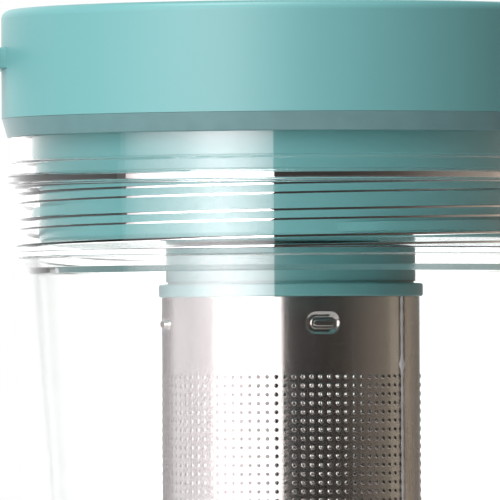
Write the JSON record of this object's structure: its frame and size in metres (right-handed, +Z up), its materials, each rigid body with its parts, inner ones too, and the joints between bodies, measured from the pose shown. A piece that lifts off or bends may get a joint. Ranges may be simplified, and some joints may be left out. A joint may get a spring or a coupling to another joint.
{
  "type": "tea infuser flask",
  "caption": "Clear double-wall drinking flask with a teal screw lid, a carry loop and a perforated steel infuser basket that hangs from the lid.",
  "frame": {"origin": "centre of the flat base, on the surface the flask stands on", "axes": "+Z up along the flask's axis, -Y towards the front, -X towards the carry loop"},
  "size_m": [0.098, 0.078, 0.2],
  "materials": {
    "clear_plastic": "clear polished copolyester",
    "teal_plastic": "satin moulded polypropylene",
    "clear_silicone": "translucent silicone",
    "steel": "bright rolled stainless sheet"
  },
  "bodies": {
    "vessel": {"outer_shell": "clear_plastic", "inner_liner": "clear_plastic"},
    "gasket": {"rim_gasket": "clear_silicone"},
    "lid": {"lid_cap": "teal_plastic", "lid_plug": "teal_plastic", "carry_loop": "teal_plastic", "infuser_holder": "teal_plastic"},
    "basket": {"basket_tube": "steel", "basket_base": "steel"}
  },
  "joints": [
    {"name": "lid_lift", "type": "slide", "parent": "vessel", "child": "gasket", "axis": [0, 0, 1], "range_m": [0, 0.0088]},
    {"name": "lid_turn", "type": "hinge", "parent": "gasket", "child": "lid", "pos_m": [0, 0, 0.183], "axis": [0, 0, 1], "range_deg": [0, 900]},
    {"name": "basket_pull", "type": "slide", "parent": "lid", "child": "basket", "axis": [0, 0, -1], "range_m": [0, 0.012]}
  ],
  "couplings": [
    {"joint": "lid_lift", "follows": "lid_turn", "m_per_rad": 0.00055704}
  ]
}
